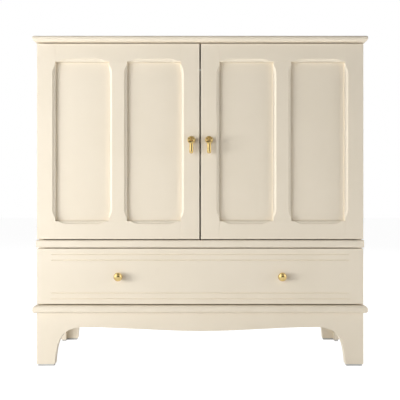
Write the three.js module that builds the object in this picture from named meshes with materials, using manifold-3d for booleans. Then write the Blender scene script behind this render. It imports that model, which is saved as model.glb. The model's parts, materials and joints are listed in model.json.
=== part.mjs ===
// Two-door cabinet with one drawer, on a shaped plinth: a free-standing frame-and-panel armoire.
// Millimetres, +Z up, doors facing -Y. The origin is on the floor, under the middle of the
// bounding box. Left and right are a viewer's, who stands in front of the doors.
import * as THREE from 'three';
import { mergeVertices } from 'three/addons/utils/BufferGeometryUtils.js';
import Module from 'manifold-3d';

const wasm = await Module();
wasm.setup();

// ---- Driving dimensions ------------------------------------------------------------------

// Carcass
const BODY_HALF = 499;
const BOARD = 16;
const INNER_HALF = BODY_HALF - BOARD;
const FRONT_BOARD = 20;
const FACE_Y = -166;
const FRONT_BACK_Y = FACE_Y + FRONT_BOARD;
const CARCASS_FRONT_Y = FRONT_BACK_Y + 2.3;
const CARCASS_BACK_Y = 182;
const BACK_PANEL = 3;
const GAP = 0.3;

// Mouldings
const OVERHANG = 11;
const TOP_BACK_Y = 192;
const TOP_BOTTOM_Z = 989;
const TOP_THICK = 18.5;
const TOP_RISE = 10.5;
const TOP_ROUND = 6.5;
const BASE_BOTTOM_Z = 163;
const BASE_THICK = 23.25;
const BASE_RISE = 12;
const BASE_ROUND = 8;
const BASE_TOP_Z = BASE_BOTTOM_Z + BASE_THICK;
const ARC_STEPS = 7;

// Rail and shelf between the cupboard and the drawer
const MID_RAIL_BOTTOM_Z = 362;
const MID_RAIL_TOP_Z = 385;
const MID_RAIL_HALF = 500;
const MID_RAIL_NOSE = 5;

// Plinth
const FRONT_APRON_BACK_Y = FACE_Y + 24;
const FOOT_Z = 6;
const FOOT_WIDTH = 54.5;
const BACK_APRON_FRONT_Y = 153;
const APRON_BOARD = 18;

// Doors
const DOOR_BOTTOM_Z = 388;
const DOOR_TOP_Z = 985.5;
const DOOR_WIDTH = 496.75;
const OUTER_STILE = 56;
const INNER_STILE = 57;
const RAIL = 55;
const MULLION = 55;
const PANEL_RECESS = 13;
const PANEL_THICK = 4;
const TONGUE = 7.5;
const COVE_CORNER_RADIUS = 46;
const COVE_SECTION_RADIUS = 11.75;
const COVE_OUTER_SLOPE = 58;
const COVE_INNER_SLOPE = 5;
const BACK_ARRIS = 2;

// Concealed hinges, measured from the door's outer edge and from its back face
const HINGE_FROM_END = 95;
const PIVOT_IN = 7;
const PIVOT_DEEP = 10;
const CUP_IN = 19.5;
const CUP_SIDES = 32;
const CUP_INNER_R = 16.5;
const CUP_OUTER_R = 17.2;
const CUP_BORE_R = 17.5;
const CUP_BORE_DEEP = 14.5;
const CUP_DEEP = 14.2;
const CUP_FLOOR = 0.7;
const FLANGE_THICK = 1.1;
const HINGE_PIN_R = 1.4;
const ARM_HALF_HEIGHT = 4.5;
const ARM_HALF_THICK = 1.5;

// Drop pulls
const PULL_X = 27;
const PULL_Z = 691;
const ROSETTE_R = 12;
const PULL_PIN_OUT = 16;
const PULL_PIN_R = 1.5;
const POST_HALF = 2.6;
const POST_FRONT = 4.5;
const YOKE_HALF = 10.8;
const YOKE_HALF_THICK = 3;
const KNUCKLE_R = 5.5;
const SLOT_HALF = 4.6;

// Drawer
const DRAWER_BOTTOM_Z = 189.75;
const DRAWER_TOP_Z = 359;
const DRAWER_MIDDLE_Z = (DRAWER_BOTTOM_Z + DRAWER_TOP_Z) / 2;
const DRAWER_BOARD = 12;
const RUNNER_SPACE = 13;
const DRAWER_HALF = INNER_HALF - RUNNER_SPACE;
const DRAWER_BACK_Y = 150;
const DRAWER_SIDE_BOTTOM_Z = 205;
const DRAWER_SIDE_TOP_Z = 318;
const DRAWER_FLOOR_Z = 216;
const DRAWER_FLOOR = 4;
const GROOVE_HALF_LENGTH = 455;
const GROOVE_MIDDLE_Z = 273.5;
const GROOVE_HALF = 1.6;
const GROOVE_DEEP = 2.5;
const GROOVE_PAIR_OUT = 59;
const GROOVE_PAIR_GAP = 17.5;
const KNOB_X = 249;
const KNOB_R = 13.25;
const KNOB_OUT = 26;
const KNOB_HALF_DEPTH = 10.4;
const RUNNER_Z = 262;
const RUNNER_HALF = 22.5;

// Adjustable shelf
const SHELF_Z = 680;
const SHELF_FRONT_Y = -128;
const SHELF_BACK_Y = 176;
const SHELF_PIN_R = 2.5;
const PIN_HOLE_R = 2.8;
const PIN_HOLE_DEEP = 9;
const PIN_PITCH = 64;
const PIN_COLUMNS_Y = [-95, 140];

// ---- Materials ---------------------------------------------------------------------------

const FINISHES = {
  paint: { color: 0xeadfc8, roughness: 0.5, metalness: 0 },
  board: { color: 0xe6dcc6, roughness: 0.65, metalness: 0 },
  brass: { color: 0xc9a25c, roughness: 0.22, metalness: 1 },
  steel: { color: 0xb9bcc0, roughness: 0.35, metalness: 1 },
  plastic: { color: 0x9a9b99, roughness: 0.7, metalness: 0 },
};

// ---- Shape helpers -----------------------------------------------------------------------

function solidOf(geometry) {
  const bare = geometry.index ? geometry.toNonIndexed() : geometry.clone();
  bare.deleteAttribute('normal');
  bare.deleteAttribute('uv');
  const merged = mergeVertices(bare, 1e-4);
  const corners = merged.index.array;
  const kept = [];
  for (let i = 0; i < corners.length; i += 3) {
    const [a, b, c] = [corners[i], corners[i + 1], corners[i + 2]];
    if (a !== b && b !== c && c !== a) kept.push(a, b, c);
  }
  return new wasm.Manifold(new wasm.Mesh({
    numProp: 3,
    vertProperties: new Float32Array(merged.attributes.position.array),
    triVerts: new Uint32Array(kept),
  }));
}

function geometryOf(solid) {
  const mesh = solid.getMesh();
  const geometry = new THREE.BufferGeometry();
  geometry.setAttribute('position', new THREE.BufferAttribute(mesh.vertProperties, 3));
  geometry.setIndex(new THREE.BufferAttribute(mesh.triVerts, 1));
  return geometry;
}

function cut(geometry, cutters) {
  let solid = solidOf(geometry);
  for (const cutter of cutters) solid = solid.subtract(solidOf(cutter));
  return geometryOf(solid);
}

function join(geometries) {
  const solids = geometries.map(solidOf);
  return geometryOf(solids.reduce((whole, solid) => whole.add(solid)));
}

function box(xs, ys, zs) {
  const size = [xs, ys, zs].map(([a, b]) => Math.abs(b - a));
  const middle = [xs, ys, zs].map(([a, b]) => (a + b) / 2);
  return new THREE.BoxGeometry(...size).translate(...middle);
}

function extruded(shape, depth, curveSegments) {
  return new THREE.ExtrudeGeometry(shape, { depth, bevelEnabled: false, curveSegments });
}

// A prism whose section is drawn in XY and which runs up Z.
function prismZ(shape, bottom, top, curveSegments = 8) {
  return extruded(shape, top - bottom, curveSegments).translate(0, 0, bottom);
}

// A prism whose section is drawn in XZ and which runs along Y.
function prismY(shape, front, back, curveSegments = 8) {
  return extruded(shape, back - front, curveSegments).rotateX(Math.PI / 2).translate(0, back, 0);
}

// A prism whose section is drawn in YZ and which runs along X.
function prismX(shape, left, right, curveSegments = 8) {
  const prism = extruded(shape, right - left, curveSegments);
  return prism.rotateX(Math.PI / 2).rotateZ(Math.PI / 2).translate(left, 0, 0);
}

function rodX(radius, length, sides = 16) {
  return new THREE.CylinderGeometry(radius, radius, length, sides).rotateZ(Math.PI / 2);
}

function rodY(radius, length, sides = 16) {
  return new THREE.CylinderGeometry(radius, radius, length, sides);
}

function rodZ(radius, length, sides = 16) {
  return new THREE.CylinderGeometry(radius, radius, length, sides).rotateX(Math.PI / 2);
}

// A turned shape whose axis points at -Y: each point is (radius, distance out from y = 0).
function turnedOutward(points, sides) {
  const profile = points.map(([r, out]) => new THREE.Vector2(r, out));
  return new THREE.LatheGeometry(profile, sides).rotateX(Math.PI);
}

function shapeOf(points) {
  return new THREE.Shape(points.map(([a, b]) => new THREE.Vector2(a, b)));
}

function roundedRectangle(left, right, bottom, top, radius) {
  const shape = new THREE.Shape();
  shape.moveTo(left + radius, bottom);
  shape.lineTo(right - radius, bottom);
  shape.absarc(right - radius, bottom + radius, radius, -Math.PI / 2, 0);
  shape.lineTo(right, top - radius);
  shape.absarc(right - radius, top - radius, radius, 0, Math.PI / 2);
  shape.lineTo(left + radius, top);
  shape.absarc(left + radius, top - radius, radius, Math.PI / 2, Math.PI);
  shape.lineTo(left, bottom + radius);
  shape.absarc(left + radius, bottom + radius, radius, Math.PI, 1.5 * Math.PI);
  return shape;
}

function part(group, name, finish, geometry, position = [0, 0, 0]) {
  const mesh = new THREE.Mesh(geometry, new THREE.MeshStandardMaterial(FINISHES[finish]));
  mesh.name = name;
  mesh.position.set(...position);
  group.add(mesh);
}

// ---- Carcass -----------------------------------------------------------------------------

// The moulded edge from the narrow face to the wide face, as (inset, height) points.
function nosePoints(thick, rise, round) {
  const points = [];
  for (let i = 0; i <= ARC_STEPS; i += 1) {
    const a = (i / ARC_STEPS) * Math.PI / 2;
    points.push([OVERHANG * (1 - Math.sin(a)), rise * (1 - Math.cos(a))]);
  }
  for (let i = 0; i <= ARC_STEPS; i += 1) {
    const a = (i / ARC_STEPS) * Math.PI / 2;
    points.push([round * (1 - Math.cos(a)), thick - round * (1 - Math.sin(a))]);
  }
  return points;
}

// A panel with a moulded edge on its front and both ends, mitred at the two front corners.
function mouldedPanel({ half, front, back, bottom, thick, rise, round, narrowFaceUp }) {
  const nose = nosePoints(thick, rise, round);
  const height = (h) => bottom + (narrowFaceUp ? thick - h : h);
  const ends = [
    ...nose.map(([inset, h]) => [-half + inset, height(h)]),
    ...nose.toReversed().map(([inset, h]) => [half - inset, height(h)]),
  ];
  const section = [
    ...nose.map(([inset, h]) => [front + inset, height(h)]),
    [back, height(thick)],
    [back, height(0)],
  ];
  const along = solidOf(prismX(shapeOf(section), -half - 1, half + 1));
  const across = solidOf(prismY(shapeOf(ends), front - 1, back + 1));
  return geometryOf(along.intersect(across));
}

function midRail() {
  const round = MID_RAIL_NOSE;
  const front = FACE_Y - MID_RAIL_NOSE;
  const section = new THREE.Shape();
  section.moveTo(CARCASS_FRONT_Y, MID_RAIL_BOTTOM_Z);
  section.lineTo(CARCASS_FRONT_Y, MID_RAIL_TOP_Z);
  section.lineTo(front + round, MID_RAIL_TOP_Z);
  section.absarc(front + round, MID_RAIL_TOP_Z - round, round, Math.PI / 2, Math.PI);
  section.lineTo(front, MID_RAIL_BOTTOM_Z + round);
  section.absarc(front + round, MID_RAIL_BOTTOM_Z + round, round, Math.PI, 1.5 * Math.PI);
  return prismX(section, -MID_RAIL_HALF, MID_RAIL_HALF);
}

function sidePanel(side) {
  const panel = box([side * INNER_HALF, side * BODY_HALF], [CARCASS_FRONT_Y, CARCASS_BACK_Y],
    [BASE_TOP_Z, TOP_BOTTOM_Z]);
  const holes = [];
  for (const y of PIN_COLUMNS_Y) {
    for (let row = -2; row <= 2; row += 1) {
      const z = SHELF_Z - SHELF_PIN_R - GAP + row * PIN_PITCH;
      const x = side * (INNER_HALF + PIN_HOLE_DEEP / 2 - 1);
      holes.push(rodX(PIN_HOLE_R, PIN_HOLE_DEEP + 2, 12).translate(x, y, z));
    }
  }
  return cut(panel, holes);
}

// A long apron: from each foot's inner edge the lower edge curves over a shoulder, then drops
// gently towards the middle.
function apronOutline() {
  const shape = new THREE.Shape();
  const foot = BODY_HALF - FOOT_WIDTH;
  shape.moveTo(-BODY_HALF, FOOT_Z);
  shape.lineTo(-foot, FOOT_Z);
  shape.bezierCurveTo(-foot + 5, 70, -foot + 14, 119, -355, 119);
  shape.bezierCurveTo(-225, 119, -130, 107, 0, 107);
  shape.bezierCurveTo(130, 107, 225, 119, 355, 119);
  shape.bezierCurveTo(foot - 14, 119, foot - 5, 70, foot, FOOT_Z);
  shape.lineTo(BODY_HALF, FOOT_Z);
  shape.lineTo(BODY_HALF, BASE_BOTTOM_Z);
  shape.lineTo(-BODY_HALF, BASE_BOTTOM_Z);
  return shape;
}

function sideApron(side) {
  const shape = new THREE.Shape();
  const front = FRONT_APRON_BACK_Y;
  const back = BACK_APRON_FRONT_Y;
  const frontFoot = FRONT_BACK_Y + 25;
  const backFoot = back - 21;
  shape.moveTo(front, FOOT_Z);
  shape.lineTo(frontFoot, FOOT_Z);
  shape.bezierCurveTo(frontFoot + 7, 66, frontFoot + 14, 113, frontFoot + 70, 113);
  shape.lineTo(backFoot - 70, 113);
  shape.bezierCurveTo(backFoot - 14, 113, backFoot - 7, 66, backFoot, FOOT_Z);
  shape.lineTo(back, FOOT_Z);
  shape.lineTo(back, BASE_BOTTOM_Z);
  shape.lineTo(front, BASE_BOTTOM_Z);
  const xs = [side * (BODY_HALF - APRON_BOARD), side * BODY_HALF];
  return prismX(shape, Math.min(...xs), Math.max(...xs));
}

// An L-shaped glide under one foot: a long arm under the apron, a short one under the side.
function glide(side, apronYs, sideYs) {
  const inset = 3;
  const outer = side * (BODY_HALF - inset);
  const longArm = box([outer, side * (BODY_HALF - FOOT_WIDTH + inset)], apronYs, [0, FOOT_Z]);
  const shortArm = box([outer, side * (BODY_HALF - APRON_BOARD + inset)], sideYs, [0, FOOT_Z]);
  return join([longArm, shortArm]);
}

function carcass() {
  const group = new THREE.Group();
  part(group, 'top_panel', 'paint', mouldedPanel({
    half: BODY_HALF + OVERHANG, front: FACE_Y - OVERHANG - 1, back: TOP_BACK_Y,
    bottom: TOP_BOTTOM_Z, thick: TOP_THICK, rise: TOP_RISE, round: TOP_ROUND, narrowFaceUp: false,
  }));
  part(group, 'base_panel', 'paint', mouldedPanel({
    half: BODY_HALF + OVERHANG, front: FACE_Y - OVERHANG, back: CARCASS_BACK_Y,
    bottom: BASE_BOTTOM_Z, thick: BASE_THICK, rise: BASE_RISE, round: BASE_ROUND, narrowFaceUp: true,
  }));
  part(group, 'mid_rail', 'paint', midRail());
  part(group, 'divider_panel', 'paint', box([-INNER_HALF, INNER_HALF], [CARCASS_FRONT_Y, CARCASS_BACK_Y],
    [366, 382]));
  part(group, 'apron_front', 'paint', prismY(apronOutline(), FACE_Y, FRONT_APRON_BACK_Y, 14));
  const backApronYs = [BACK_APRON_FRONT_Y, BACK_APRON_FRONT_Y + APRON_BOARD];
  part(group, 'apron_back', 'paint', prismY(apronOutline(), ...backApronYs, 14));
  for (const [side, word] of [[-1, 'left'], [1, 'right']]) {
    part(group, `side_panel_${word}`, 'paint', sidePanel(side));
    part(group, `apron_${word}`, 'paint', sideApron(side));
    part(group, `glide_front_${word}`, 'plastic', glide(side, [FACE_Y + 3, FRONT_APRON_BACK_Y - 3],
      [FRONT_APRON_BACK_Y - 4, FRONT_BACK_Y + 22]));
    part(group, `glide_back_${word}`, 'plastic', glide(side, [backApronYs[0] + 3, backApronYs[1] - 3],
      [backApronYs[0] - 18, backApronYs[0] + 4]));
  }
  const backYs = [CARCASS_BACK_Y, CARCASS_BACK_Y + BACK_PANEL];
  part(group, 'back_panel_upper', 'board', box([-BODY_HALF + 3, BODY_HALF - 3], backYs, [375, 985]));
  part(group, 'back_panel_lower', 'board', box([-BODY_HALF + 3, BODY_HALF - 3], backYs, [166, 374]));
  return group;
}

function shelf() {
  const group = new THREE.Group();
  part(group, 'adjustable_shelf', 'paint', box([-INNER_HALF + 1, INNER_HALF - 1],
    [SHELF_FRONT_Y, SHELF_BACK_Y], [SHELF_Z, SHELF_Z + BOARD]));
  const rows = ['front', 'back'];
  for (const [side, word] of [[-1, 'left'], [1, 'right']]) {
    PIN_COLUMNS_Y.forEach((y, i) => {
      const length = 16;
      const x = side * (INNER_HALF + PIN_HOLE_DEEP - 1.5 - length / 2);
      part(group, `shelf_pin_${rows[i]}_${word}`, 'steel', rodX(SHELF_PIN_R, length, 12),
        [x, y, SHELF_Z - SHELF_PIN_R - GAP]);
    });
  }
  return group;
}

// ---- Concealed hinges --------------------------------------------------------------------

// The fixed half: a gooseneck from the pivot, out of the cup and back along the side panel.
function hingeArm(side, z) {
  const px = (inward) => side * (BODY_HALF - inward);
  const py = (behind) => FRONT_BACK_Y + behind;
  const route = new THREE.SplineCurve([[PIVOT_IN, -PIVOT_DEEP], [11, -11.3], [16, -11.5], [21, -8],
    [23, 0], [24, 8], [24, 14], [22.5, 24]].map(([a, b]) => new THREE.Vector2(px(a), py(b))));
  const steps = 14;
  const near = [];
  const far = [];
  for (let i = 0; i <= steps; i += 1) {
    const point = route.getPoint(i / steps);
    const tangent = route.getTangent(i / steps);
    near.push([point.x - tangent.y * ARM_HALF_THICK, point.y + tangent.x * ARM_HALF_THICK]);
    far.push([point.x + tangent.y * ARM_HALF_THICK, point.y - tangent.x * ARM_HALF_THICK]);
  }
  const neck = prismZ(shapeOf([...near, ...far.reverse()]), z - ARM_HALF_HEIGHT, z + ARM_HALF_HEIGHT);
  const pivot = [px(PIVOT_IN), py(-PIVOT_DEEP), z];
  const knuckle = rodZ(HINGE_PIN_R + 1.4, 2 * ARM_HALF_HEIGHT, 20).translate(...pivot);
  const arm = box([px(16.5), px(25)], [py(20), py(66)], [z - 7.5, z + 7.5]);
  const plate = box([px(BOARD + GAP), px(BOARD + 2.5)], [py(28), py(62)], [z - 22, z + 22]);
  const bore = rodZ(HINGE_PIN_R + 0.4, 4 * ARM_HALF_HEIGHT, 20).translate(...pivot);
  return cut(join([neck, knuckle, arm, plate]), [bore]);
}

// The half in the door: a round cup with a flange, and the pin that the knuckle turns on. The
// rim has a notch at the door's edge, which the arm enters when the door is wide open.
function hingeCup(side, z) {
  const centre = side * (BODY_HALF - CUP_IN);
  const px = (inward) => side * (BODY_HALF - inward);
  const rim = GAP + FLANGE_THICK;
  const depth = CUP_DEEP + rim;
  const middle = FRONT_BACK_Y + rim - depth / 2;
  const bowl = rodY(CUP_OUTER_R, depth, CUP_SIDES).translate(centre, middle, z);
  const flange = box([px(8), px(37)], [FRONT_BACK_Y + GAP, FRONT_BACK_Y + rim], [z - 26, z + 26]);
  const hollow = rodY(CUP_INNER_R, depth, CUP_SIDES).translate(centre, middle + CUP_FLOOR, z);
  const notch = box([px(0), px(7)], [FRONT_BACK_Y - 4, FRONT_BACK_Y + 2 * rim], [z - 7, z + 7]);
  const half = Math.sqrt(CUP_INNER_R ** 2 - (CUP_IN - PIVOT_IN) ** 2) - 0.55;
  const pin = rodZ(HINGE_PIN_R, 2 * half, 16).translate(px(PIVOT_IN), FRONT_BACK_Y - PIVOT_DEEP, z);
  return join([cut(join([bowl, flange]), [hollow, notch]), pin]);
}

// ---- Doors -------------------------------------------------------------------------------

// The plug that routs a cove round one panel opening. The cove's section is an arc that slopes
// less and less towards the opening. It runs out at the opening's square corners, because its
// own corners are round.
function covePlug(left, right, bottom, top) {
  const degrees = Math.PI / 180;
  const inset = COVE_SECTION_RADIUS * Math.sin(COVE_INNER_SLOPE * degrees);
  const reach = COVE_SECTION_RADIUS * Math.sin(COVE_OUTER_SLOPE * degrees);
  const proud = COVE_SECTION_RADIUS * Math.cos(COVE_OUTER_SLOPE * degrees);
  const outline = roundedRectangle(left + inset, right - inset, bottom + inset, top - inset,
    COVE_CORNER_RADIUS - reach);
  const plug = new THREE.ExtrudeGeometry(outline, {
    depth: 2,
    bevelThickness: COVE_SECTION_RADIUS,
    bevelSize: COVE_SECTION_RADIUS,
    bevelSegments: 9,
    curveSegments: 7,
  });
  return plug.rotateX(Math.PI / 2).translate(0, FACE_Y - proud, 0);
}

function outerStile(xs, side) {
  const outer = side * BODY_HALF;
  const inner = xs.find((x) => x !== outer);
  const corner = outer - side * BACK_ARRIS;
  const arc = [];
  for (let i = 0; i <= 4; i += 1) {
    const a = (i / 4) * Math.PI / 2;
    arc.push([corner + side * BACK_ARRIS * Math.sin(a), FRONT_BACK_Y - BACK_ARRIS * (1 - Math.cos(a))]);
  }
  const section = shapeOf([[inner, FACE_Y], [inner, FRONT_BACK_Y], ...arc, [outer, FACE_Y]]);
  return prismZ(section, DOOR_BOTTOM_Z, DOOR_TOP_Z);
}

function door(side, word) {
  const group = new THREE.Group();
  const at = (inward) => side * (BODY_HALF - inward);
  const span = (a, b) => [at(a), at(b)].sort((p, q) => p - q);
  const ys = [FACE_Y, FRONT_BACK_Y];
  const openBottom = DOOR_BOTTOM_Z + RAIL;
  const openTop = DOOR_TOP_Z - RAIL;
  const innerStileIn = DOOR_WIDTH - INNER_STILE;
  const mullionIn = (OUTER_STILE + innerStileIn - MULLION) / 2;
  const openings = [span(OUTER_STILE, mullionIn), span(mullionIn + MULLION, innerStileIn)];
  const panelYs = [FACE_Y + PANEL_RECESS, FACE_Y + PANEL_RECESS + PANEL_THICK];
  const cutters = [];
  for (const [left, right] of openings) {
    cutters.push(covePlug(left, right, openBottom, openTop));
    const reach = TONGUE + 0.5;
    cutters.push(box([left - reach, right + reach], [panelYs[0] - GAP, panelYs[1] + GAP],
      [openBottom - reach, openTop + reach]));
  }
  const hingeZs = [DOOR_BOTTOM_Z + HINGE_FROM_END, DOOR_TOP_Z - HINGE_FROM_END];
  const bores = hingeZs.map((z) => rodY(CUP_BORE_R, CUP_BORE_DEEP + 2, CUP_SIDES)
    .translate(at(CUP_IN), FRONT_BACK_Y - CUP_BORE_DEEP / 2 + 1, z));
  const outer = outerStile(span(0, OUTER_STILE), side);
  part(group, `${word}_stile_outer`, 'paint', cut(outer, [...cutters, ...bores]));
  const frame = {
    stile_inner: [span(innerStileIn, DOOR_WIDTH), [DOOR_BOTTOM_Z, DOOR_TOP_Z]],
    rail_top: [span(OUTER_STILE, innerStileIn), [openTop, DOOR_TOP_Z]],
    rail_bottom: [span(OUTER_STILE, innerStileIn), [DOOR_BOTTOM_Z, openBottom]],
    mullion: [span(mullionIn, mullionIn + MULLION), [openBottom, openTop]],
  };
  for (const [name, [xs, zs]] of Object.entries(frame)) {
    part(group, `${word}_${name}`, 'paint', cut(box(xs, ys, zs), cutters));
  }
  openings.forEach(([left, right], i) => {
    const name = i === 0 ? 'outer' : 'inner';
    part(group, `${word}_panel_${name}`, 'paint', box([left - TONGUE, right + TONGUE], panelYs,
      [openBottom - TONGUE, openTop + TONGUE]));
  });
  hingeZs.forEach((z, i) => {
    const level = i === 0 ? 'lower' : 'upper';
    part(group, `${word}_hinge_cup_${level}`, 'steel', hingeCup(side, z));
    part(group, `${word}_hinge_arm_${level}`, 'steel', hingeArm(side, z));
  });
  const pinAt = [side * PULL_X, FACE_Y - PULL_PIN_OUT, PULL_Z];
  part(group, `${word}_pull_base`, 'brass', pullBase(), [side * PULL_X, FACE_Y, PULL_Z]);
  part(group, `${word}_pull_pin`, 'brass', rodX(PULL_PIN_R, 2 * YOKE_HALF - 0.6), pinAt);
  part(group, `${word}_pull_drop`, 'brass', pullDrop(), pinAt);
  return group;
}

// ---- Drop pulls --------------------------------------------------------------------------

// Rosette and post, with their seat at y = 0 and the pin's hole at the origin's height.
function pullBase() {
  const rosette = turnedOutward([[0, 0], [ROSETTE_R, 0], [ROSETTE_R, 1.6], [11.2, 3], [9, 3.6],
    [7.5, 3.2], [0, 3.2]], 24);
  const post = box([-POST_HALF, POST_HALF], [-PULL_PIN_OUT - POST_FRONT, -2], [-4, 5]);
  const hole = rodX(PULL_PIN_R + GAP, 4 * POST_HALF).translate(0, -PULL_PIN_OUT, 0);
  return cut(join([rosette, post]), [hole]);
}

// The hanging piece, with the pin's axis at its origin: two round knuckles on a plate that
// narrows to a rod.
function pullDrop() {
  const half = YOKE_HALF;
  const thick = YOKE_HALF_THICK;
  const knuckles = rodX(KNUCKLE_R, 2 * half, 24);
  const yoke = shapeOf([[-half, 0], [-half, -2], [-6, -12], [6, -12], [half, -2], [half, 0]]);
  const plate = prismY(yoke, -thick, thick);
  const slot = box([-SLOT_HALF, SLOT_HALF], [-2 * thick, 2 * thick], [-7, 8]);
  const hole = rodX(PULL_PIN_R + GAP, 3 * half);
  const profile = [[0, -42.8], [3.2, -42.4], [5.6, -41], [6.4, -38], [6, -20], [5.8, -12.5], [4.6, -10.5],
    [0, -10.5]];
  const rod = new THREE.LatheGeometry(profile.map(([r, h]) => new THREE.Vector2(r, h)), 20);
  return cut(join([knuckles, plate, rod.rotateX(Math.PI / 2)]), [slot, hole]);
}

// ---- Drawer ------------------------------------------------------------------------------

// The front board, with two pairs of V-grooves near its upper and lower edges.
function drawerFront() {
  const grooves = [];
  for (const pair of [-1, 1]) {
    for (const line of [-1, 1]) {
      const z = GROOVE_MIDDLE_Z + pair * GROOVE_PAIR_OUT + line * GROOVE_PAIR_GAP / 2;
      const section = shapeOf([[FACE_Y + GROOVE_DEEP, z], [FACE_Y - GROOVE_DEEP, z - 2 * GROOVE_HALF],
        [FACE_Y - GROOVE_DEEP, z + 2 * GROOVE_HALF]]);
      grooves.push(prismX(section, -GROOVE_HALF_LENGTH, GROOVE_HALF_LENGTH));
    }
  }
  const board = box([-BODY_HALF, BODY_HALF], [FACE_Y, FRONT_BACK_Y], [DRAWER_BOTTOM_Z, DRAWER_TOP_Z]);
  return cut(board, grooves);
}

function knob() {
  const centre = KNOB_OUT - KNOB_HALF_DEPTH;
  const points = [[0, 0], [8.4, 0], [8.4, 1.8], [5.2, 3.4], [5.2, 6]];
  const lowest = -1.08;
  const steps = 8;
  for (let i = 0; i < steps; i += 1) {
    const a = lowest + (i / steps) * (Math.PI / 2 - lowest);
    points.push([KNOB_R * Math.cos(a), centre + KNOB_HALF_DEPTH * Math.sin(a)]);
  }
  points.push([0, KNOB_OUT]);
  return turnedOutward(points, 24);
}

// One half of a side-mounted runner: a channel section, open towards the other half.
function runnerFixed(side) {
  const outer = side * INNER_HALF;
  const inward = (d) => outer - side * d;
  const points = [[0, -RUNNER_HALF], [9, -RUNNER_HALF], [9, -RUNNER_HALF + 3], [2, -RUNNER_HALF + 3],
    [2, RUNNER_HALF - 3], [9, RUNNER_HALF - 3], [9, RUNNER_HALF], [0, RUNNER_HALF]];
  const shape = shapeOf(points.map(([d, h]) => [inward(d), RUNNER_Z + h]));
  return prismY(shape, CARCASS_FRONT_Y + 4, 158);
}

function runnerMoving(side) {
  const outer = side * INNER_HALF;
  const inward = (d) => outer - side * d;
  const half = RUNNER_HALF - 4;
  const points = [[3.2, -half], [10, -half], [10, -half + 4], [RUNNER_SPACE, -half + 4],
    [RUNNER_SPACE, half - 4], [10, half - 4], [10, half], [3.2, half], [3.2, half - 3], [8, half - 3],
    [8, -half + 3], [3.2, -half + 3]];
  const shape = shapeOf(points.map(([d, h]) => [inward(d), RUNNER_Z + h]));
  return prismY(shape, FRONT_BACK_Y + GAP, DRAWER_BACK_Y);
}

function drawer() {
  const group = new THREE.Group();
  const sideZs = [DRAWER_SIDE_BOTTOM_Z, DRAWER_SIDE_TOP_Z];
  const innerHalf = DRAWER_HALF - DRAWER_BOARD;
  const tongue = 5;
  const floorYs = [FRONT_BACK_Y + GAP, DRAWER_BACK_Y - DRAWER_BOARD - GAP];
  const floorZs = [DRAWER_FLOOR_Z, DRAWER_FLOOR_Z + DRAWER_FLOOR];
  const reach = innerHalf + tongue + 0.5;
  const groove = box([-reach, reach], [FRONT_BACK_Y - 1, DRAWER_BACK_Y + 1],
    [floorZs[0] - GAP, floorZs[1] + GAP]);
  part(group, 'drawer_front', 'paint', drawerFront());
  for (const [side, word] of [[-1, 'left'], [1, 'right']]) {
    const board = box([side * innerHalf, side * DRAWER_HALF], [FRONT_BACK_Y, DRAWER_BACK_Y], sideZs);
    part(group, `drawer_side_${word}`, 'board', cut(board, [groove]));
    part(group, `drawer_runner_${word}`, 'steel', runnerMoving(side));
    part(group, `drawer_knob_${word}`, 'brass', knob(), [side * KNOB_X, FACE_Y, DRAWER_MIDDLE_Z]);
  }
  part(group, 'drawer_back', 'board', box([-innerHalf, innerHalf],
    [DRAWER_BACK_Y - DRAWER_BOARD, DRAWER_BACK_Y], sideZs));
  part(group, 'drawer_bottom', 'board', box([-innerHalf - tongue, innerHalf + tongue], floorYs, floorZs));
  return group;
}

function fixedRunners() {
  const group = new THREE.Group();
  part(group, 'cabinet_runner_left', 'steel', runnerFixed(-1));
  part(group, 'cabinet_runner_right', 'steel', runnerFixed(1));
  return group;
}

// ---- Assembly ----------------------------------------------------------------------------

const cabinet = new THREE.Group();
cabinet.add(carcass());
cabinet.add(shelf());
cabinet.add(fixedRunners());
cabinet.add(door(-1, 'left'));
cabinet.add(door(1, 'right'));
cabinet.add(drawer());

export default cabinet;
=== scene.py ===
# The looks of the armoire: painted wood, brass pulls and knobs, hinges, runners and glides,
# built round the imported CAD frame. Metres, +Z up, the doors face -Y.
import json
import math

import bmesh
import bpy
from mathutils import Matrix, Vector

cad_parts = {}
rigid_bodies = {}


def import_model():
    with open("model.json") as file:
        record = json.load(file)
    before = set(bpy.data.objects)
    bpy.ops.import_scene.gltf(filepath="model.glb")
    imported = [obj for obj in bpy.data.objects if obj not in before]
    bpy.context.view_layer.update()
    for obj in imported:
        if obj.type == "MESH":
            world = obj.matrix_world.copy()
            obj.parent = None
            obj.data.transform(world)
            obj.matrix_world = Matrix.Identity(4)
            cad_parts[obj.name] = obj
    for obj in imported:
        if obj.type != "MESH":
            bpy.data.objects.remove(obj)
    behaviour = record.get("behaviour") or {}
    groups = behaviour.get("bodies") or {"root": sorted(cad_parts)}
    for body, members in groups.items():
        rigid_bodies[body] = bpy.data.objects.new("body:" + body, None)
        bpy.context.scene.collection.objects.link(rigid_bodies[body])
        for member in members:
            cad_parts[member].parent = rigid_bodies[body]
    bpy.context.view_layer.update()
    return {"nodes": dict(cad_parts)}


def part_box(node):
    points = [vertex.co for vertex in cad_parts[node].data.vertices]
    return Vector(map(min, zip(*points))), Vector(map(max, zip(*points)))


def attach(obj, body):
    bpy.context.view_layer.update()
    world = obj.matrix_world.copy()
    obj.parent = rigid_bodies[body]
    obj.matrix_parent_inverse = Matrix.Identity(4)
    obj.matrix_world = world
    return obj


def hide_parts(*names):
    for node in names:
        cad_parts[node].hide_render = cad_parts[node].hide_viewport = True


for stray in list(bpy.data.objects):
    bpy.data.objects.remove(stray)
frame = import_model()
NODES = frame["nodes"]
MM = 0.001
# The two mirrored halves: the sign of their X, and the word in their nodes' names.
SIDES = ((-1, "left"), (1, "right"))

# ---- Sizes read from the frame ---------------------------------------------------------------

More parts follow.
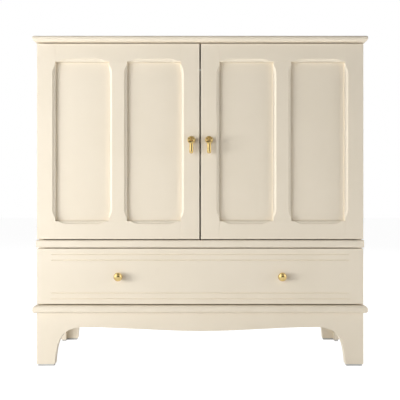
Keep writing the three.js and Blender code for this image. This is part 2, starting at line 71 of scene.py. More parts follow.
FACE_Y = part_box("drawer_front")[0].y
DOOR_BACK_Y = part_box("left_mullion")[1].y


# ---- Mesh helpers ----------------------------------------------------------------------------

def new_object(name, bm, material, sharp_degrees=32):
    """A mesh object from bm, smooth except at edges sharper than the given angle."""
    bmesh.ops.recalc_face_normals(bm, faces=bm.faces)
    mesh = bpy.data.meshes.new(name)
    bm.to_mesh(mesh)
    bm.free()
    mesh.shade_smooth()
    mesh.set_sharp_from_angle(angle=math.radians(sharp_degrees))
    mesh.materials.append(material)
    obj = bpy.data.objects.new(name, mesh)
    bpy.context.scene.collection.objects.link(obj)
    return obj


def lathe(bm, profile, place, segments):
    """Revolves (radius, height) points in millimetres about Z, then puts them at a place."""
    rings = []
    for radius, height in profile:
        if radius < 1e-6:
            rings.append([bm.verts.new(place @ Vector((0, 0, height * MM)))])
            continue
        ring = []
        for i in range(segments):
            a = 2 * math.pi * i / segments
            ring.append(bm.verts.new(place @ Vector(
                (radius * MM * math.cos(a), radius * MM * math.sin(a), height * MM))))
        rings.append(ring)
    for lower, upper in zip(rings, rings[1:]):
        for i in range(segments):
            j = (i + 1) % segments
            if len(lower) == 1 and len(upper) == 1:
                continue
            if len(lower) == 1:
                bm.faces.new((lower[0], upper[j], upper[i]))
            elif len(upper) == 1:
                bm.faces.new((lower[i], lower[j], upper[0]))
            else:
                bm.faces.new((lower[i], lower[j], upper[j], upper[i]))


def arc(centre, radii, start, end, steps):
    """Points on an elliptic arc, angles in degrees."""
    points = []
    for i in range(steps + 1):
        a = math.radians(start + (end - start) * i / steps)
        points.append((centre[0] + radii[0] * math.cos(a), centre[1] + radii[1] * math.sin(a)))
    return points


def prism(bm, outline, low, high, place):
    """A straight prism: the outline in its own XY, from low to high along its own Z, in mm."""
    bottom = [bm.verts.new(place @ Vector((x * MM, y * MM, low * MM))) for x, y in outline]
    top = [bm.verts.new(place @ Vector((x * MM, y * MM, high * MM))) for x, y in outline]
    count = len(outline)
    for i in range(count):
        j = (i + 1) % count
        bm.faces.new((bottom[i], bottom[j], top[j], top[i]))
    bm.faces.new(top)
    bm.faces.new(bottom[::-1])


def rounded_box(bm, low, high, radius, segments):
    """A box between two corners in metres, with all its edges rounded."""
    middle = (Vector(low) + Vector(high)) / 2
    size = Vector(high) - Vector(low)
    made = bmesh.ops.create_cube(bm, size=1.0, matrix=Matrix.Translation(middle)
                                 @ Matrix.Diagonal((size.x, size.y, size.z, 1)))
    edges = {e for v in made["verts"] for e in v.link_edges}
    bmesh.ops.bevel(bm, geom=list(edges), offset=radius, segments=segments, profile=0.5,
                    affect="EDGES", clamp_overlap=True)


# Turns a shape's own Z axis to point out of the front, at -Y.
OUTWARD = Matrix.Rotation(math.pi / 2, 4, "X")


# ---- Materials -------------------------------------------------------------------------------

class Surface:
    """One node material, with short calls for the nodes that the surfaces share."""

    def __init__(self, name):
        self.material = bpy.data.materials.new(name)
        self.material.use_nodes = True
        tree = self.material.node_tree
        self.nodes = tree.nodes
        self.links = tree.links
        self.shader = self.nodes["Principled BSDF"]
        self.place = self.nodes.new("ShaderNodeTexCoord").outputs["Object"]

    def stretched(self, scale):
        """The object's own coordinates, with each axis scaled by its own factor."""
        mapping = self.nodes.new("ShaderNodeMapping")
        mapping.inputs["Scale"].default_value = scale
        self.links.new(self.place, mapping.inputs["Vector"])
        return mapping.outputs["Vector"]

    def noise(self, scale, detail=3, roughness=0.5, vector=None):
        node = self.nodes.new("ShaderNodeTexNoise")
        node.inputs["Scale"].default_value = scale
        node.inputs["Detail"].default_value = detail
        node.inputs["Roughness"].default_value = roughness
        self.links.new(vector or self.place, node.inputs["Vector"])
        return node.outputs["Fac"]

    def spread(self, value, low, high, from_low=0.3, from_high=0.7):
        """Maps the useful range of a noise onto low to high, and holds it there."""
        node = self.nodes.new("ShaderNodeMapRange")
        ends = {"From Min": from_low, "From Max": from_high, "To Min": low, "To Max": high}
        for key, number in ends.items():
            node.inputs[key].default_value = number
        self.links.new(value, node.inputs["Value"])
        return node.outputs["Result"]

    def blend(self, share, first, second):
        """A colour between two colours or colour sockets."""
        node = self.nodes.new("ShaderNodeMix")
        node.data_type = "RGBA"
        self.links.new(share, node.inputs["Factor"])
        for key, colour in (("A", first), ("B", second)):
            socket = next(s for s in node.inputs if s.name == key and s.type == "RGBA")
            if isinstance(colour, bpy.types.NodeSocket):
                self.links.new(colour, socket)
            else:
                socket.default_value = (*colour, 1)
        return next(s for s in node.outputs if s.type == "RGBA")

    def bump(self, height, distance, strength=1.0, under=None):
        node = self.nodes.new("ShaderNodeBump")
        node.inputs["Strength"].default_value = strength
        node.inputs["Distance"].default_value = distance
        self.links.new(height, node.inputs["Height"])
        if under is not None:
            self.links.new(under, node.inputs["Normal"])
        return node.outputs["Normal"]

    def edge_highlight_mask(self, radius):
        """Near 1 on outer edges within the radius, and 0 on flat faces: the mask for a painted edge
        highlight.
        """
        bevel = self.nodes.new("ShaderNodeBevel")
        bevel.samples = 4
        bevel.inputs["Radius"].default_value = radius
        geometry = self.nodes.new("ShaderNodeNewGeometry")
        dot = self.nodes.new("ShaderNodeVectorMath")
        dot.operation = "DOT_PRODUCT"
        self.links.new(bevel.outputs["Normal"], dot.inputs[0])
        self.links.new(geometry.outputs["Normal"], dot.inputs[1])
        return self.spread(dot.outputs["Value"], 1.0, 0.0, 0.80, 0.995)

    def set(self, **values):
        """Links or sets the shader's inputs; an underscore stands for a space in their names."""
        for key, value in values.items():
            socket = self.shader.inputs[key.replace("_", " ")]
            if isinstance(value, bpy.types.NodeSocket):
                self.links.new(value, socket)
            elif isinstance(value, tuple):
                socket.default_value = (*value, 1)
            else:
                socket.default_value = value


# Each surface's main colour and the colour of its patches, and a lighter cream painted on the outer
# edges as a highlight.
CREAM = (0.890, 0.800, 0.656)
CREAM_SHADE = (0.865, 0.775, 0.628)
CREAM_EDGE_HIGHLIGHT = tuple(min(1.0, c * 1.05 + 0.01) for c in CREAM)
BOARD_CREAM = (0.86, 0.78, 0.63)
BOARD_SHADE = (0.83, 0.745, 0.595)
BRASS_LIGHT = (0.830, 0.640, 0.290)
BRASS_DARK = (0.730, 0.530, 0.210)
NICKEL_LIGHT = (0.62, 0.62, 0.61)
NICKEL_DARK = (0.50, 0.50, 0.50)
GREY_LIGHT = (0.60, 0.60, 0.59)
GREY_DARK = (0.53, 0.53, 0.525)

# How often the wood's fibres vary in a metre: along the grain, and across it.
ALONG_GRAIN = 5
ACROSS_GRAIN = 260
# How wide the painted highlight on the paint's outer edges is.
EDGE_HIGHLIGHT_WIDTH = 1.1 * MM


def paint(name, grain):
    """Sprayed cream paint over fine wood grain that runs along the given axis, with a painted
    highlight on its outer edges.
    """
    surface = Surface(name)
    along = tuple(ALONG_GRAIN if axis == grain else ACROSS_GRAIN for axis in "XYZ")
    fibres = surface.noise(1.0, 5, 0.6, surface.stretched(along))
    peel = surface.noise(620, 2, 0.45)
    cloud = surface.noise(5.5, 3, 0.55)
    bumped = surface.bump(fibres, 0.03 * MM, 0.18)
    bumped = surface.bump(peel, 0.025 * MM, 0.3, bumped)
    tone = surface.blend(surface.spread(cloud, 0, 1), CREAM, CREAM_SHADE)
    # Lighter cream on the outer edges: a painted highlight along the arrises.
    tone = surface.blend(surface.edge_highlight_mask(EDGE_HIGHLIGHT_WIDTH), tone, CREAM_EDGE_HIGHLIGHT)
    surface.set(Base_Color=tone, Roughness=surface.spread(cloud, 0.35, 0.46),
                Normal=bumped, Specular_IOR_Level=0.42)
    return surface.material


def board_paint(name):
    """The coated board inside and at the back: flatter, with a fine printed stipple."""
    surface = Surface(name)
    stipple = surface.noise(1400, 2, 0.5)
    cloud = surface.noise(9, 4, 0.6)
    tone = surface.blend(surface.spread(cloud, 0, 1), BOARD_CREAM, BOARD_SHADE)
    surface.set(Base_Color=tone, Roughness=surface.spread(stipple, 0.56, 0.68),
                Normal=surface.bump(stipple, 0.05 * MM, 0.6), Specular_IOR_Level=0.35)
    return surface.material


def brass(name):
    """Polished brass: warm, with faint polishing marks and a duller tone in patches."""
    surface = Surface(name)
    marks = surface.noise(1.0, 4, 0.6, surface.stretched((900, 900, 90)))
    patch = surface.noise(150, 4, 0.6)
    tone = surface.blend(surface.spread(patch, 0, 1), BRASS_LIGHT, BRASS_DARK)
    surface.set(Base_Color=tone, Metallic=1.0, Roughness=surface.spread(patch, 0.09, 0.18),
                Normal=surface.bump(marks, 0.02 * MM, 0.4))
    return surface.material


def steel(name):
    """Nickel-plated pressed steel with a fine rolled grain."""
    surface = Surface(name)
    grain = surface.noise(1.0, 4, 0.6, surface.stretched((1500, 60, 1500)))
    tone = surface.blend(surface.spread(grain, 0, 1), NICKEL_LIGHT, NICKEL_DARK)
    surface.set(Base_Color=tone, Metallic=1.0, Roughness=surface.spread(grain, 0.26, 0.40),
                Normal=surface.bump(grain, 0.02 * MM, 0.5))
    return surface.material


def plastic(name):
    """Matt grey moulded plastic with a fine spark-eroded texture."""
    surface = Surface(name)
    texture = surface.noise(2600, 2, 0.5)
    tone = surface.blend(surface.spread(surface.noise(60), 0, 1), GREY_LIGHT, GREY_DARK)
    surface.set(Base_Color=tone, Roughness=surface.spread(texture, 0.55, 0.72),
                Normal=surface.bump(texture, 0.05 * MM, 0.6))
    return surface.material


# One paint for each direction that a piece's grain can run in.
PAINTS = {axis: paint(f"cream_paint_along_{axis}", axis) for axis in "XYZ"}
BOARD = board_paint("painted_board")
BRASS = brass("polished_brass")
STEEL = steel("nickel_steel")
PLASTIC = plastic("grey_plastic")


# ---- Camera, light and floor -----------------------------------------------------------------

# The camera looks level along +Y, from the middle of the front.
CAMERA_X = -0.0005
CAMERA_Z = 0.5076
CAMERA_DISTANCE = 1.6976


def make_camera():
    data = bpy.data.cameras.new("camera")
    data.lens = 50
    data.sensor_width = 36
    data.clip_end = 100
    camera = bpy.data.objects.new("camera", data)
    camera.location = (CAMERA_X, FACE_Y - CAMERA_DISTANCE, CAMERA_Z)
    camera.rotation_euler = (math.pi / 2, 0, 0)
    bpy.context.scene.collection.objects.link(camera)
    bpy.context.scene.camera = camera


def area_light(name, place, target, size, watts):
    """A soft light that reflections leave out, as they see the studio's sides in its place."""
    data = bpy.data.lights.new(name, "AREA")
    data.shape = "RECTANGLE"
    data.size, data.size_y = size
    data.energy = watts
    light = bpy.data.objects.new(name, data)
    light.location = place
    light.rotation_euler = (Vector(target) - Vector(place)).to_track_quat("-Z", "Y").to_euler()
    light.visible_glossy = False
    bpy.context.scene.collection.objects.link(light)


def by_ray(tree, lit, shiny, seen):
    """A shader that is one thing as a light, another in reflections and another to the camera."""
    ray = tree.nodes.new("ShaderNodeLightPath")
    current = lit
    for kind, shader in (("Is Glossy Ray", shiny), ("Is Camera Ray", seen)):
        mix = tree.nodes.new("ShaderNodeMixShader")
        tree.links.new(ray.outputs[kind], mix.inputs["Fac"])
        tree.links.new(current, mix.inputs[1])
        tree.links.new(shader, mix.inputs[2])
        current = mix.outputs["Shader"]
    return current


# How the studio brightens towards each side: the axis, where along it the glow begins and is
# full, and the brightness that it adds there, or takes away when it is negative.
LIT_SIDES = (("X", 0, 1, 0.02), ("Y", 0, 1, 0.16))
SHINY_SIDES = (
    ("X", -0.18, -0.70, 1.70), ("X", 0.45, 0.85, 1.35),
    ("Y", 0, 1, 0.90), ("Y", 0, -1, 0.12),
    ("Z", 0.25, 0.60, 0.42), ("Z", 0.75, 1, -0.34),
)
# The floor's shade of white and its glow: as a light, in reflections and to the camera.
LIT_FLOOR = (0.80, 0.02)
SHINY_FLOOR = (0.30, 0.70)
SEEN_FLOOR = (0.22, 0.966)
FLOOR_SIZE = 14


def studio_side(tree, sides):
    """A background that brightens towards the given sides."""
    nodes, links = tree.nodes, tree.links
    background = nodes.new("ShaderNodeBackground")
    split = nodes.new("ShaderNodeSeparateXYZ")
    links.new(nodes.new("ShaderNodeTexCoord").outputs["Generated"], split.inputs["Vector"])
    total = None
    for axis, start, full, brightness in sides:
        glow = nodes.new("ShaderNodeMapRange")
        glow.inputs["To Max"].default_value = brightness
        glow.inputs["From Min"].default_value = start
        glow.inputs["From Max"].default_value = full
        links.new(split.outputs[axis], glow.inputs["Value"])
        if total is None:
            total = glow.outputs["Result"]
            continue
        both = nodes.new("ShaderNodeMath")
        links.new(total, both.inputs[0])
        links.new(glow.outputs["Result"], both.inputs[1])
        total = both.outputs["Value"]
    links.new(total, background.inputs["Color"])
    return background.outputs["Background"]


def make_world():
    """A white studio: dim as a light, and brighter to the left in reflections."""
    world = bpy.data.worlds.new("studio")
    bpy.context.scene.world = world
    world.use_nodes = True
    tree = world.node_tree
    tree.nodes.clear()
    seen = tree.nodes.new("ShaderNodeBackground")
    seen.inputs["Color"].default_value = (1, 1, 1, 1)
    output = tree.nodes.new("ShaderNodeOutputWorld")
    shown = by_ray(tree, studio_side(tree, LIT_SIDES), studio_side(tree, SHINY_SIDES),
                   seen.outputs["Background"])
    tree.links.new(shown, output.inputs["Surface"])


def floor_shader(tree, colour, glow):
    """A matt white that also glows by itself."""
    shader = tree.nodes.new("ShaderNodeBsdfPrincipled")
    shader.inputs["Base Color"].default_value = (colour, colour, colour, 1)
    shader.inputs["Roughness"].default_value = 1.0
    shader.inputs["Specular IOR Level"].default_value = 0.0
    shader.inputs["Emission Color"].default_value = (1, 1, 1, 1)
    shader.inputs["Emission Strength"].default_value = glow
    return shader.outputs["BSDF"]


def make_floor():
    """A plain white floor, which keeps only the faintest shadows."""
    surface = Surface("studio_floor")
    tree = surface.material.node_tree
    tree.nodes.remove(surface.shader)
    shown = by_ray(tree, floor_shader(tree, *LIT_FLOOR), floor_shader(tree, *SHINY_FLOOR),
                   floor_shader(tree, *SEEN_FLOOR))
    tree.links.new(shown, tree.nodes["Material Output"].inputs["Surface"])
    bm = bmesh.new()
    bmesh.ops.create_grid(bm, x_segments=1, y_segments=1, size=FLOOR_SIZE)
    floor = new_object("floor", bm, surface.material)


make_camera()
make_world()
make_floor()
# Each light's name, its place, the point that it faces, its size and its power in watts.
area_light("key", (-2.0, -2.0, 1.0), (0, 0, 0.5), (2.4, 1.6), 39)
area_light("low_key", (-2.5, -1.35, 0.4), (0, 0, 0.5), (1.2, 0.6), 35)
area_light("right_fill", (2.4, -0.66, 0.75), (0, 0, 0.4), (1.0, 1.2), 20)
area_light("low_front", (-0.2, -1.1, 0.02), (0, 0, 0.5), (2.0, 0.7), 3.8)
area_light("back_light", (0.8, 2.1, 2.7), (0, 0, 0.7), (2.4, 1.6), 80)
bpy.context.scene.view_settings.view_transform = "Standard"


# ---- Wood: CAD pieces with rounded arrises ---------------------------------------------------

# Two CAD vertices nearer than this are one.
WELD_DISTANCE = 0.01 * MM


def node_group(name, floats=()):
    """An empty geometry node group with a Geometry input, the given float inputs and an output."""
    tree = bpy.data.node_groups.new(name, "GeometryNodeTree")
    face = tree.interface
    face.new_socket("Geometry", in_out="INPUT", socket_type="NodeSocketGeometry")
    for socket in floats:
        face.new_socket(socket, in_out="INPUT", socket_type="NodeSocketFloat")
    face.new_socket("Geometry", in_out="OUTPUT", socket_type="NodeSocketGeometry")
    return tree, tree.nodes.new("NodeGroupInput"), tree.nodes.new("NodeGroupOutput")


def weld_tree():
    """Joins a CAD mesh's split vertices and clears its flat shading."""
    tree, source, target = node_group("weld")
    nodes, links = tree.nodes, tree.links
    weld = nodes.new("GeometryNodeMergeByDistance")
    weld.inputs["Distance"].default_value = WELD_DISTANCE
    links.new(source.outputs["Geometry"], weld.inputs["Geometry"])
    current = weld.outputs["Geometry"]
    for attribute in ("custom_normal", "sharp_edge", "sharp_face"):
        remove = nodes.new("GeometryNodeRemoveAttribute")
        remove.inputs["Name"].default_value = attribute
        links.new(current, remove.inputs["Geometry"])
        current = remove.outputs["Geometry"]
    smooth = nodes.new("GeometryNodeSetShadeSmooth")
    smooth.inputs["Shade Smooth"].default_value = True
    links.new(current, smooth.inputs["Geometry"])
    links.new(smooth.outputs["Geometry"], target.inputs["Geometry"])
    return tree


OUTLINE_INPUTS = ("Low X", "High X", "Low Z", "High Z", "Inner share")
# How near to the outline an edge has to be, and the least angle that counts as sharp.
ON_OUTLINE = 0.4 * MM
SHARP_ANGLE = math.radians(34)


def weight_tree():
    """Weights a mesh's edges for rounding: 1 where a sharp edge lies on the given outline in
    XZ, the inner share at other sharp edges, and 0 elsewhere."""
    tree, source, target = node_group("arris_weights", OUTLINE_INPUTS)
    nodes, links = tree.nodes, tree.links

    def maths(operation, first, second):
        node = nodes.new("ShaderNodeMath")
        node.operation = operation
        for socket, value in zip(node.inputs, (first, second)):
            if isinstance(value, bpy.types.NodeSocket):
                links.new(value, socket)
            else:
                socket.default_value = value
        return node

    split = nodes.new("ShaderNodeSeparateXYZ")
    links.new(nodes.new("GeometryNodeInputPosition").outputs["Position"], split.inputs["Vector"])
    share = source.outputs["Inner share"]
    for limit in OUTLINE_INPUTS[:4]:
        same = maths("COMPARE", split.outputs[limit[-1]], source.outputs[limit])
        same.inputs[2].default_value = ON_OUTLINE
        share = maths("MAXIMUM", share, same.outputs[0]).outputs[0]
    angle = nodes.new("GeometryNodeInputMeshEdgeAngle").outputs["Unsigned Angle"]
    sharp = maths("GREATER_THAN", angle, SHARP_ANGLE).outputs[0]
    weight = maths("MULTIPLY", share, sharp).outputs[0]
    store = nodes.new("GeometryNodeStoreNamedAttribute")
    store.data_type = "FLOAT"
    store.domain = "EDGE"
    store.inputs["Name"].default_value = "bevel_weight_edge"
    links.new(source.outputs["Geometry"], store.inputs["Geometry"])
    links.new(weight, next(s for s in store.inputs if s.name == "Value" and s.enabled))
    links.new(store.outputs["Geometry"], target.inputs["Geometry"])
    return tree


WELD = weld_tree()
WEIGHTS = weight_tree()


def round_arrises(obj, outline, width, inner_share):
    """Rounds a CAD piece's arrises: the full width on the outline, and a share of it elsewhere."""
    obj.modifiers.new("weld", "NODES").node_group = WELD
    flat = obj.modifiers.new("whole_faces", "DECIMATE")
    flat.decimate_type = "DISSOLVE"
    flat.angle_limit = math.radians(1)
    weights = obj.modifiers.new("arris_weights", "NODES")
    weights.node_group = WEIGHTS
    for item in WEIGHTS.interface.items_tree:
        if item.in_out == "INPUT" and item.name in OUTLINE_INPUTS:
            weights[item.identifier] = (*outline, inner_share)[OUTLINE_INPUTS.index(item.name)]
    bevel = obj.modifiers.new("arris", "BEVEL")
    bevel.limit_method = "WEIGHT"
    bevel.width = width
    bevel.segments = 3
    bevel.use_clamp_overlap = False
    normals = obj.modifiers.new("flat_faces", "WEIGHTED_NORMAL")
    normals.keep_sharp = False


def outline_of(low, high):
    return low.x, high.x, low.z, high.z


def door_box(word):
    """The whole door's lowest and highest corners."""
    corners = [*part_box(f"{word}_stile_outer"), *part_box(f"{word}_stile_inner")]
    low = Vector(min(c[i] for c in corners) for i in range(3))
    high = Vector(max(c[i] for c in corners) for i in range(3))
    return low, high


def dress(node, material, width, outline=None, inner_share=1.0):
    """Gives a CAD piece its material and its rounded arrises."""
    obj = NODES[node]
    for index in range(len(obj.material_slots)):
        obj.material_slots[index].material = material
    round_arrises(obj, outline or outline_of(*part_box(node)), width, inner_share)


# How far the arrises are rounded: round a door or drawer front, at its seams and grooves, on the
# sides and the divider, on the shelf, on mouldings, rails and aprons, on thin board, on the
# doors' panels, on metal and on plastic.
FRONT_ARRIS = 1.0 * MM
SEAM_ARRIS = 0.5 * MM
PANEL_ARRIS = 0.7 * MM
SHELF_ARRIS = 1.0 * MM
MOULDING_ARRIS = 0.5 * MM
BOARD_ARRIS = 0.4 * MM
INSET_ARRIS = 0.3 * MM
METAL_ARRIS = 0.25 * MM
PLASTIC_ARRIS = 0.5 * MM


def dress_wood():
    for node in ("top_panel", "base_panel", "mid_rail", "apron_front", "apron_back"):
        dress(node, PAINTS["X"], MOULDING_ARRIS)
    dress("divider_panel", PAINTS["X"], PANEL_ARRIS)
    dress("adjustable_shelf", PAINTS["X"], SHELF_ARRIS)
    seam_share = SEAM_ARRIS / FRONT_ARRIS
    dress("drawer_front", PAINTS["X"], FRONT_ARRIS, inner_share=seam_share)
    for node in ("back_panel_upper", "back_panel_lower", "drawer_back", "drawer_bottom"):
        dress(node, BOARD, BOARD_ARRIS)
    for _, word in SIDES:
        dress(f"side_panel_{word}", PAINTS["Z"], PANEL_ARRIS)
        dress(f"apron_{word}", PAINTS["Y"], MOULDING_ARRIS)
        dress(f"drawer_side_{word}", BOARD, BOARD_ARRIS)
        outline = outline_of(*door_box(word))
        for node in ("stile_outer", "stile_inner", "mullion"):
            dress(f"{word}_{node}", PAINTS["Z"], FRONT_ARRIS, outline, seam_share)
        for node in ("rail_top", "rail_bottom"):
            dress(f"{word}_{node}", PAINTS["X"], FRONT_ARRIS, outline, seam_share)
        for node in ("panel_outer", "panel_inner"):
            dress(f"{word}_{node}", PAINTS["Z"], INSET_ARRIS)


dress_wood()


# ---- Brass -----------------------------------------------------------------------------------

def put_brass(name, bm, node, body):
    """Puts a brass piece on a body, in place of its CAD node."""
    piece = new_object(name, bm, BRASS)
    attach(piece, body)
    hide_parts(node)


def knob(word):
    """A flattened ball on a waisted neck with a rounded foot."""
    low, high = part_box(f"drawer_knob_{word}")
    middle = (low + high) / 2
    radius = (high.x - low.x) / 2 / MM
    out = (high.y - low.y) / MM
    half_depth = 10.4
    foot = [(0, 0), (7.8, 0)] + arc((7.6, 1.1), (0.9, 0.9), -60, 80, 6)
    neck = [(6.4, 2.3)] + arc((6.6, 4.6), (1.7, 2.0), 250, 130, 6)
    ball = arc((0, out - half_depth), (radius, half_depth), -62, 90, 26)[:-1] + [(0, out)]
    place = Matrix.Translation((middle.x, high.y, middle.z)) @ OUTWARD
    bm = bmesh.new()
    lathe(bm, foot + neck + ball, place, 72)
    put_brass(f"knob_{word}", bm, f"drawer_knob_{word}", "drawer")


def pull_pivot(word):
    """The middle of the pull's pin."""
    low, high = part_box(f"{word}_pull_pin")
    return (low + high) / 2


def pull_base(word):
    """A stepped round rosette with a square post that reaches forward to carry the pin."""
    low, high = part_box(f"{word}_pull_base")
    x = (low.x + high.x) / 2
    radius = (high.x - low.x) / 2 / MM
    pin = pull_pivot(word)
    rim = [(0, 0), (radius - 0.3, 0), (radius, 0.3), (radius, 1.1)]
    rim += arc((radius - 1.3, 1.5), (1.3, 1.7), 0, 90, 6)
    bead = [(radius - 2.2, 2.9)] + arc((radius - 3.6, 2.9), (1.2, 0.7), 0, 180, 8)
    dish = [(radius - 5.4, 2.5), (5.2, 2.5), (0, 2.5)]
    bm = bmesh.new()
    lathe(bm, rim + bead + dish, Matrix.Translation((x, high.y, pin.z)) @ OUTWARD, 72)
    post_half, post_below, post_above, post_sunk = 2.6 * MM, 4 * MM, 5 * MM, 2 * MM
    rounded_box(bm, (x - post_half, low.y, pin.z - post_below),
                (x + post_half, high.y - post_sunk, pin.z + post_above), 1.6 * MM, 5)
    put_brass(f"{word}_pull_rosette", bm, f"{word}_pull_base", f"{word}_door")


def pull_pin(word):
    """A plain pin with rounded ends."""
    low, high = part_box(f"{word}_pull_pin")
    half = (high.x - low.x) / 2 / MM
    radius = (high.z - low.z) / 2 / MM
    dome = 0.6
    profile = [(0, -half)] + arc((0, -half + dome), (radius, dome), -90, 0, 5)[1:]
    profile += arc((0, half - dome), (radius, dome), 0, 90, 5)[:-1] + [(0, half)]
    place = Matrix.Translation(pull_pivot(word)) @ Matrix.Rotation(math.pi / 2, 4, "Y")
    bm = bmesh.new()
    lathe(bm, profile, place, 32)
    put_brass(f"{word}_pull_axle", bm, f"{word}_pull_pin", f"{word}_door")


def pull_drop(word):
    """Two round knuckles on a plate that narrows to a slightly flared rod with a domed end."""
    low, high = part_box(f"{word}_pull_drop")
    place = Matrix.Translation(pull_pivot(word))
    half = (high.x - low.x) / 2 / MM
    radius = (high.y - low.y) / 2 / MM
    bottom = (low.z - pull_pivot(word).z) / MM
    slot, hole, thick, neck = 4.6, 1.8, 3.0, 6.0
    inside, outside = 0.5, 1.3
    knuckle = [(hole, slot), (radius - inside, slot)]
    knuckle += arc((radius - inside, slot + inside), (inside, inside), -60, 0, 3)
    knuckle += arc((radius - outside, half - outside), (outside, outside), 0, 90, 6)
    knuckle += [(hole, half), (hole, slot)]
    bm = bmesh.new()
    for turn in (-1, 1):
        lathe(bm, knuckle, place @ Matrix.Rotation(turn * math.pi / 2, 4, "Y"), 48)
    left = [(-slot - 0.4, -2.4), (-half + 0.9, -2.4), (-half + 0.9, -3.6), (-neck, -12.0)]
    right = [(-x, z) for x, z in left[::-1]]
    notch = [(slot, -5.4), (slot - 1.6, -7.0), (-slot + 1.6, -7.0), (-slot, -5.4)]
    plate = bmesh.new()
    prism(plate, left + right + notch, -thick, thick, place @ OUTWARD)
    bmesh.ops.bevel(plate, geom=list(plate.edges), offset=0.9 * MM, segments=4, profile=0.5,
                    affect="EDGES", clamp_overlap=True)
    part = bpy.data.meshes.new("plate")
    plate.to_mesh(part)
    plate.free()
    bm.from_mesh(part)
    bpy.data.meshes.remove(part)
    rod = [(0, bottom)] + arc((0, bottom + 4.0), (6.0, 4.0), -90, -8, 10)[1:]
    rod += [(6.25, bottom + 5.4), (6.35, bottom + 7.0), (6.15, -24), (6.0, -16), (5.8, -13.2)]
    rod += arc((4.4, -12.2), (1.4, 1.6), -30, 90, 6)
    rod += [(3.4, -10.6), (0, -10.5)]
    lathe(bm, rod, place, 48)
    put_brass(f"{word}_pull_handle", bm, f"{word}_pull_drop", f"{word}_pull")


for _, side_word in SIDES:
    knob(side_word)
    pull_base(side_word)
    pull_pin(side_word)
    pull_drop(side_word)


# ---- Steel and plastic -----------------------------------------------------------------------

def dress_metal():
    for node in NODES:
        if "hinge" in node or "runner" in node or "shelf_pin" in node:
            dress(node, STEEL, METAL_ARRIS)
        if node.startswith("glide"):
            dress(node, PLASTIC, PLASTIC_ARRIS)


dress_metal()


# ---- Fasteners -------------------------------------------------------------------------------

def facing(place, out):
    """A frame at a place whose own Z axis points out along the given direction."""
    return Matrix.Translation(place) @ Vector(out).to_track_quat("Z", "Y").to_matrix().to_4x4()


def screw_head(bm, place, radius, height):
    """A low domed head with a cross recess."""
    segments = 24
    rings = []
    for share, level in ((1.0, 0.0), (1.0, 0.35), (0.90, 0.75), (0.70, 1.0)):
        ring = []
        for i in range(segments):
            a = 2 * math.pi * i / segments
            point = (radius * share * math.cos(a), radius * share * math.sin(a), height * level)
            ring.append(bm.verts.new(place @ Vector(point)))
        rings.append(ring)
    for lower, upper in zip(rings, rings[1:]):
        for i in range(segments):
            j = (i + 1) % segments
            bm.faces.new((lower[i], lower[j], upper[j], upper[i]))
    bm.faces.new(rings[0][::-1])
    wide, slim = 0.52 * radius, 0.13 * radius
    taper, floor_level = 0.75, 0.3 * height
    cross = [(wide, slim), (slim, slim), (slim, wide), (-slim, wide), (-slim, slim), (-wide, slim)]
    cross += [(-x, -y) for x, y in cross]
    rim = [bm.verts.new(place @ Vector((x, y, height))) for x, y in cross]
    floor = [bm.verts.new(place @ Vector((taper * x, taper * y, floor_level))) for x, y in cross]
    count = len(cross)
    for i in range(count):
        j = (i + 1) % count
        bm.faces.new((rim[i], rim[j], floor[j], floor[i]))
    bm.faces.new(floor)
    edges = []
    for loop in (rings[-1], rim):
        edges += [bm.edges.get((loop[i], loop[(i + 1) % len(loop)])) for i in range(len(loop))]
    bmesh.ops.triangle_fill(bm, edges=edges, use_beauty=True)


# A head's radius and height: in a hinge's flange or plate, on its arm, and behind a handle.
PLATE_HEAD = (3.4 * MM, 1.5 * MM)
ARM_HEAD = (3.0 * MM, 1.2 * MM)
HANDLE_HEAD = (4.2 * MM, 1.7 * MM)


def screws(name, body, places, out, head):
    """Screw heads at several places on one body, all facing the same way."""
    bm = bmesh.new()
    for place in places:
        screw_head(bm, facing(place, out), *head)
    piece = new_object(name, bm, STEEL, 40)
    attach(piece, body)


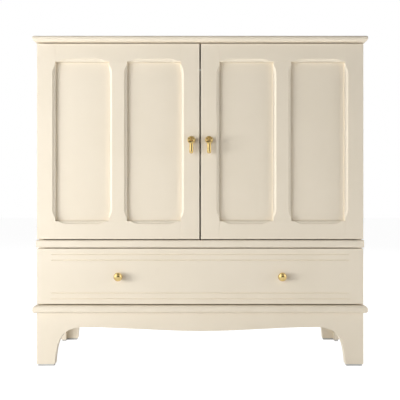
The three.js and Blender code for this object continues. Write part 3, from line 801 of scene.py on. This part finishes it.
def hinge_screws():
    """Two screws through each cup's flange, two through each plate, and two that adjust the arm."""
    cup_in, plate_thick, arm_deep = 19.5 * MM, 2.5 * MM, 9 * MM
    plate_in, flange_half, plate_half = 21 * MM, 21.8 * MM, 15 * MM
    arm_front, arm_rear = -11 * MM, 10 * MM
    for side, word in SIDES:
        edge = door_box(word)[0 if side < 0 else 1].x
        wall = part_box(f"side_panel_{word}")[1 if side < 0 else 0].x
        flange, plate, arm = [], [], []
        for level in ("lower", "upper"):
            cup_low, cup_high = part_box(f"{word}_hinge_cup_{level}")
            z = (cup_low.z + cup_high.z) / 2
            plate_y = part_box(f"{word}_hinge_arm_{level}")[1].y - plate_in
            for up in (-1, 1):
                flange.append(Vector((edge - side * cup_in, cup_high.y, z + up * flange_half)))
                plate.append(Vector((wall - side * plate_thick, plate_y, z + up * plate_half)))
            for along in (arm_front, arm_rear):
                arm.append(Vector((wall - side * arm_deep, plate_y + along, z)))
        screws(f"{word}_hinge_cup_screws", f"{word}_door", flange, (0, 1, 0), PLATE_HEAD)
        screws(f"{word}_hinge_plate_screws", "carcass", plate, (-side, 0, 0), PLATE_HEAD)
        screws(f"{word}_hinge_arm_screws", "carcass", arm, (-side, 0, 0), ARM_HEAD)


def handle_screws():
    """The screws that hold the knobs and pulls, seen from inside."""
    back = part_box("drawer_front")[1].y
    places = []
    for _, word in SIDES:
        low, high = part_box(f"drawer_knob_{word}")
        places.append(Vector(((low.x + high.x) / 2, back, (low.z + high.z) / 2)))
        pin = pull_pivot(word)
        behind_pin = Vector((pin.x, DOOR_BACK_Y, pin.z))
        screws(f"{word}_pull_screw", f"{word}_door", [behind_pin], (0, 1, 0), HANDLE_HEAD)
    screws("drawer_knob_screws", "drawer", places, (0, 1, 0), HANDLE_HEAD)


# A nail head's profile, as radius and height in millimetres, and how the nails are spaced.
NAIL_HEAD = ((0, 0), (1.9, 0), (1.7, 0.35), (0.9, 0.6), (0, 0.65))
NAIL_INSET = 4 * MM
NAIL_PITCH = 95 * MM


def back_nails():
    """Round nail heads where each back panel lies on the sides, the divider and the base."""
    for half in ("upper", "lower"):
        low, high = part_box(f"back_panel_{half}")
        left, right = low.x + NAIL_INSET, high.x - NAIL_INSET
        bottom, top = low.z + NAIL_INSET, high.z - NAIL_INSET
        across = round((right - left) / NAIL_PITCH)
        up = round((top - bottom) / NAIL_PITCH)
        rows = [bottom] if half == "upper" else [bottom, top]
        places = [(left + (right - left) * i / across, z) for i in range(across + 1) for z in rows]
        for i in range(1, up):
            places += [(x, bottom + (top - bottom) * i / up) for x in (left, right)]
        bm = bmesh.new()
        for x, z in places:
            lathe(bm, NAIL_HEAD, facing(Vector((x, high.y, z)), (0, 1, 0)), 12)
        nails = new_object(f"back_nails_{half}", bm, STEEL)
        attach(nails, "carcass")


hinge_screws()
handle_screws()
back_nails()
